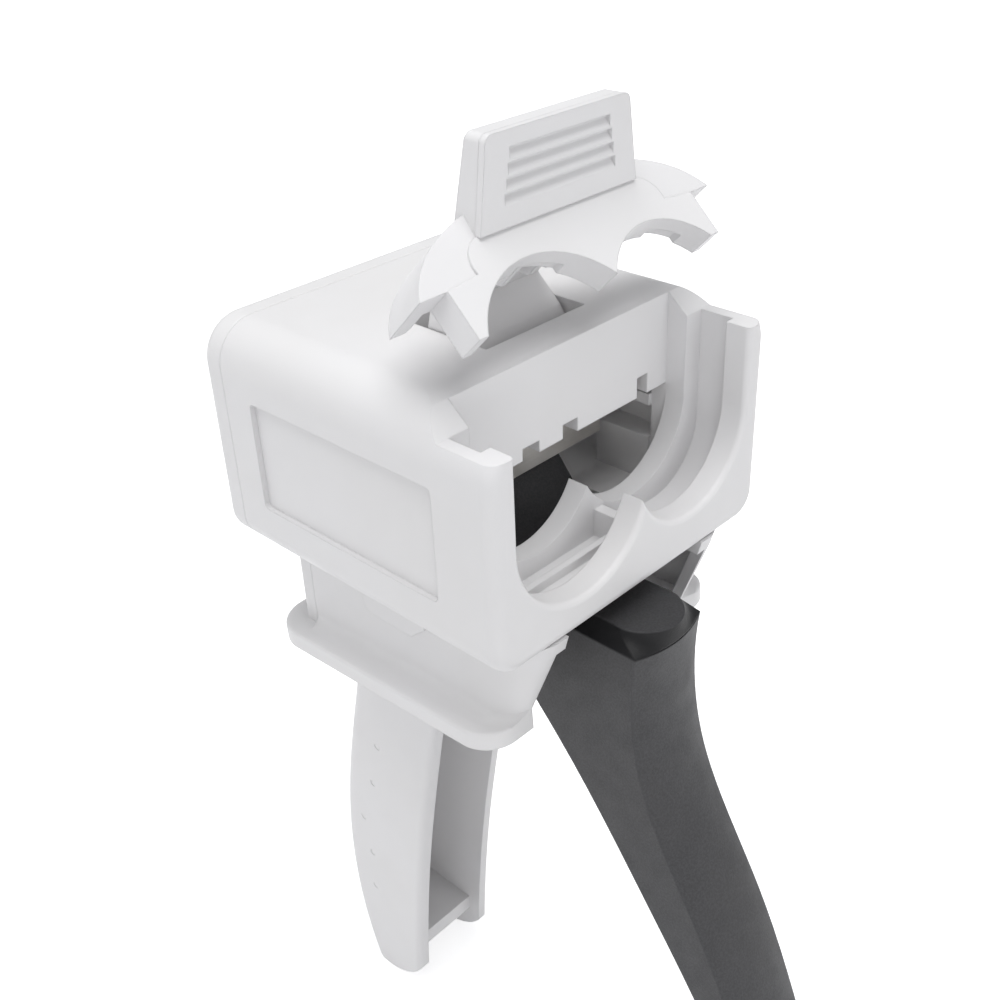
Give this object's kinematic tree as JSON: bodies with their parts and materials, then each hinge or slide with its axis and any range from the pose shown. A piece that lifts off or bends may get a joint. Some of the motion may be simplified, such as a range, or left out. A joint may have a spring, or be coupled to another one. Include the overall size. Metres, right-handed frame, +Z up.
{
  "type": "dental dispensing tool",
  "caption": "Hand-held dispensing tool for twin-barrel dental cartridges: open-topped cartridge receiver, flip-up latch, fixed handle and sprung trigger that drives a plate.",
  "frame": {"origin": "centre of the cartridge mouth: on the body's front face, midway between the two barrel axes and at their height", "axes": "+X to the right as seen from the front, +Y from the front face back through the body, +Z up"},
  "size_m": [0.066, 0.1203, 0.2111],
  "materials": {
    "white": "fine satin",
    "grey": "fine matt grain",
    "natural": "natural acetal",
    "steel": "rolled",
    "screw": "zinc plated",
    "spring": "drawn wire"
  },
  "bodies": {
    "housing": {"front_housing": "white", "rear_cover": "white", "lower_housing": "white", "lower_rear_cover": "white", "handle": "white", "rod_bushes": "natural", "trigger_pin": "steel", "guide_pins": "steel", "release_pin": "steel", "latch_pin": "steel", "rear_cover_screws": "screw", "housing_screws": "screw", "handle_screws": "screw", "lower_cover_screws": "screw", "trigger_spring": "spring", "drive_springs": "spring", "brake_springs": "spring"},
    "latch": {"latch": "white", "latch_grip": "white"},
    "trigger": {"trigger": "grey", "trigger_bushes": "natural"},
    "drive": {"drive_plate": "steel"},
    "brake": {"brake_plate": "steel", "release_lever": "grey"}
  },
  "joints": [
    {"name": "latch_hinge", "type": "hinge", "parent": "housing", "child": "latch", "pos_m": [0, 0.03013, 0.01348], "axis": [1, 0, 0], "range_deg": [-25, 46]},
    {"name": "trigger_pivot", "type": "hinge", "parent": "housing", "child": "trigger", "pos_m": [0, 0.0264, -0.025], "axis": [1, 0, 0], "range_deg": [0, 28], "stiffness_Nm_per_rad": 0.25, "springref_deg": -40.11},
    {"name": "drive_slide", "type": "slide", "parent": "housing", "child": "drive", "axis": [0, -1, 0], "range_m": [0, 0.0098], "deforming": ["drive_springs"]},
    {"name": "brake_release", "type": "hinge", "parent": "housing", "child": "brake", "pos_m": [0, 0.0565, -0.0115], "axis": [1, 0, 0], "range_deg": [0, 6], "stiffness_Nm_per_rad": 0.3, "springref_deg": -17.19, "deforming": ["brake_springs"]}
  ],
  "couplings": [
    {"joint": "drive_slide", "follows": "trigger_pivot", "m_per_rad": 0.02005}
  ]
}
